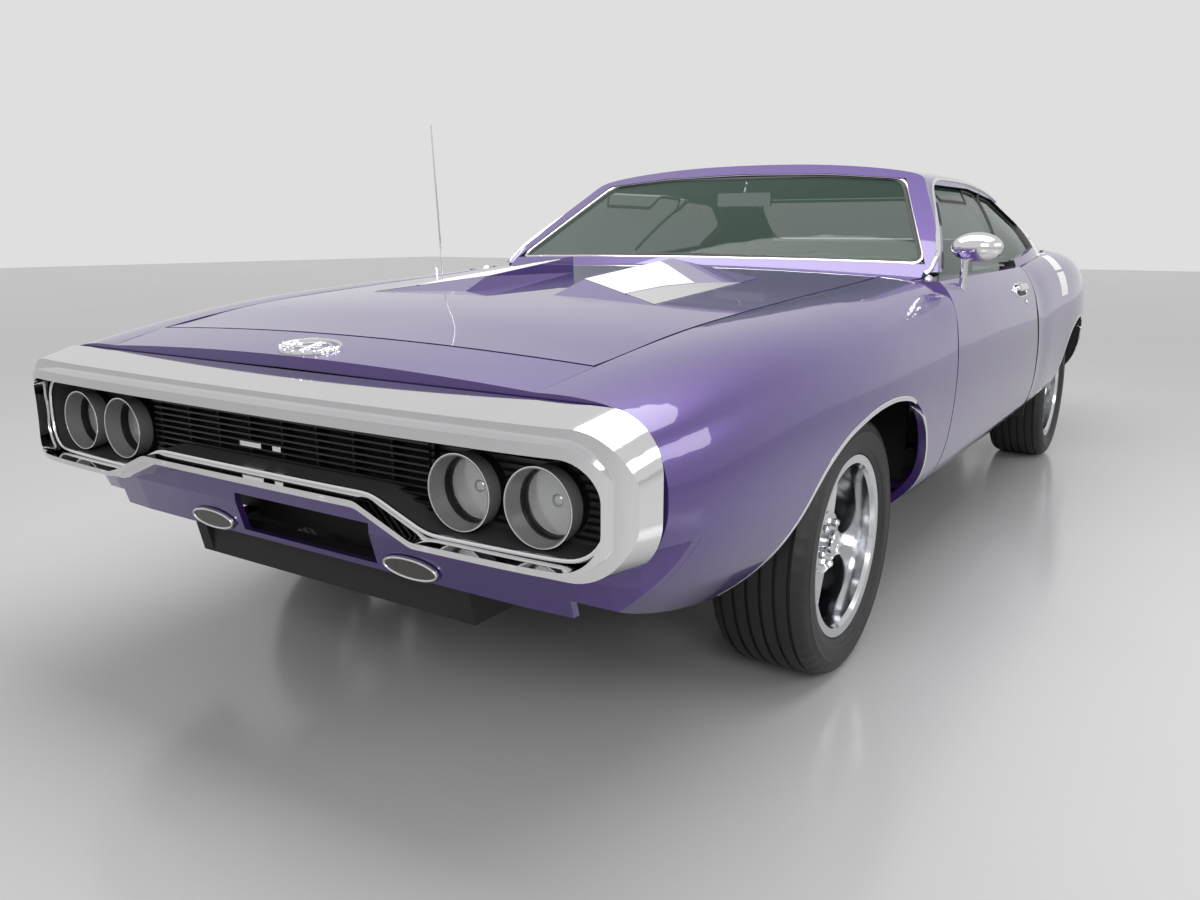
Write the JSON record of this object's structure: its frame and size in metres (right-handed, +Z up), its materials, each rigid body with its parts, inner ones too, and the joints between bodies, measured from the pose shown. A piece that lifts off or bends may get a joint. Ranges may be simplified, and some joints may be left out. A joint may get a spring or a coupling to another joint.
{
  "type": "two-door hardtop muscle car",
  "caption": "Two-door hardtop muscle car with a loop front bumper, quad lamps set in tunnels, twin hood scoops, slotted stripes on the rear pillars and polished spoked wheels",
  "frame": {"origin": "on the floor under mid-length and mid-width", "axes": "+X to the front, +Y to the car's left, +Z up"},
  "size_m": [5.16, 2.0381, 1.4401],
  "materials": {
    "body_paint": "metallic purple under a glossy clear coat",
    "bright_metal": "bright plated metal",
    "wheel_alloy": "polished cast alloy",
    "argent_paint": "satin argent grey paint",
    "chassis_black": "satin black paint",
    "grille_plastic": "matt black plastic",
    "cast_metal": "painted cast iron",
    "pipe_steel": "plain steel tube",
    "window_glass": "clear, slightly green",
    "lamp_glass": "clear fluted glass",
    "lamp_smoke": "smoked gloss plastic",
    "lamp_red": "red gloss plastic",
    "tyre_rubber": "black tyre rubber",
    "seat_vinyl": "black grained vinyl",
    "white_film": "white and silver film",
    "dash_plastic": "black padded plastic"
  },
  "bodies": {
    "body": {"fender_left": "body_paint", "fender_right": "body_paint", "quarter_left": "body_paint", "quarter_right": "body_paint", "rocker_left": "body_paint", "rocker_right": "body_paint", "nose_panel": "body_paint", "cowl": "body_paint", "roof": "body_paint", "valance": "body_paint", "bumper_front": "bright_metal", "bumper_rear": "bright_metal", "antenna": "bright_metal", "cabin_mirror": "bright_metal", "lamp_surround": "argent_paint", "headlamp_bezels": "argent_paint", "headlamp_lenses": "lamp_glass", "grille": "grille_plastic", "tail_panel": "grille_plastic", "parking_lamps": "lamp_smoke", "tail_lamps": "lamp_red", "floor": "chassis_black", "frame_rails": "chassis_black", "firewall": "chassis_black", "radiator": "chassis_black", "suspension_front": "chassis_black", "upper_arms": "chassis_black", "fuel_tank": "chassis_black", "engine": "cast_metal", "rear_axle": "cast_metal", "exhaust": "pipe_steel", "windshield": "window_glass", "rear_window": "window_glass", "quarter_glass": "window_glass", "instrument_panel": "dash_plastic", "package_shelf": "dash_plastic", "steering_column": "dash_plastic", "seat_front_left": "seat_vinyl", "seat_front_right": "seat_vinyl", "seat_rear": "seat_vinyl"},
    "door_left": {"door_left": "body_paint", "door_glass_left": "window_glass", "side_mirror": "bright_metal"},
    "door_right": {"door_right": "body_paint", "door_glass_right": "window_glass"},
    "hood": {"hood": "body_paint", "scoop_inserts": "white_film"},
    "trunk_lid": {"trunk_lid": "body_paint"},
    "steering_wheel": {"steering_wheel": "dash_plastic"},
    "knuckle_left": {"knuckle_left": "cast_metal"},
    "knuckle_right": {"knuckle_right": "cast_metal"},
    "wheel_front_left": {"rim_front_left": "wheel_alloy", "tyre_front_left": "tyre_rubber"},
    "wheel_front_right": {"rim_front_right": "wheel_alloy", "tyre_front_right": "tyre_rubber"},
    "wheel_rear_left": {"rim_rear_left": "wheel_alloy", "tyre_rear_left": "tyre_rubber"},
    "wheel_rear_right": {"rim_rear_right": "wheel_alloy", "tyre_rear_right": "tyre_rubber"}
  },
  "joints": [
    {"name": "door_left_hinge", "type": "hinge", "parent": "body", "child": "door_left", "pos_m": [0.984, 1, 0.6], "axis": [0, 0, -1], "range_deg": [0, 68]},
    {"name": "door_right_hinge", "type": "hinge", "parent": "body", "child": "door_right", "pos_m": [0.984, -1, 0.6], "axis": [0, 0, 1], "range_deg": [0, 68]},
    {"name": "hood_hinge", "type": "hinge", "parent": "body", "child": "hood", "pos_m": [0.767, 0, 0.967], "axis": [0, -1, 0], "range_deg": [0, 58]},
    {"name": "trunk_hinge", "type": "hinge", "parent": "body", "child": "trunk_lid", "pos_m": [-1.564, 0, 1.008], "axis": [0, 1, 0], "range_deg": [0, 75]},
    {"name": "kingpin_left", "type": "hinge", "parent": "body", "child": "knuckle_left", "pos_m": [1.53, 0.712, 0.322], "axis": [0, 0, 1], "range_deg": [-33, 33]},
    {"name": "kingpin_right", "type": "hinge", "parent": "body", "child": "knuckle_right", "pos_m": [1.53, -0.712, 0.322], "axis": [0, 0, 1], "range_deg": [-33, 33]},
    {"name": "steering_turn", "type": "hinge", "parent": "body", "child": "steering_wheel", "pos_m": [0.33, 0.385, 0.82], "axis": [-0.9135, 0, 0.4067], "range_deg": [-530, 530]},
    {"name": "wheel_front_left_spin", "type": "hinge", "parent": "knuckle_left", "child": "wheel_front_left", "pos_m": [1.53, 0.805, 0.322], "axis": [0, 1, 0], "continuous": true},
    {"name": "wheel_front_right_spin", "type": "hinge", "parent": "knuckle_right", "child": "wheel_front_right", "pos_m": [1.53, -0.805, 0.322], "axis": [0, 1, 0], "continuous": true},
    {"name": "wheel_rear_left_spin", "type": "hinge", "parent": "body", "child": "wheel_rear_left", "pos_m": [-1.391, 0.805, 0.322], "axis": [0, 1, 0], "continuous": true},
    {"name": "wheel_rear_right_spin", "type": "hinge", "parent": "body", "child": "wheel_rear_right", "pos_m": [-1.391, -0.805, 0.322], "axis": [0, 1, 0], "continuous": true}
  ],
  "couplings": [
    {"joint": "kingpin_right", "follows": "kingpin_left", "ratio": 1},
    {"joint": "steering_turn", "follows": "kingpin_left", "ratio": 16}
  ]
}
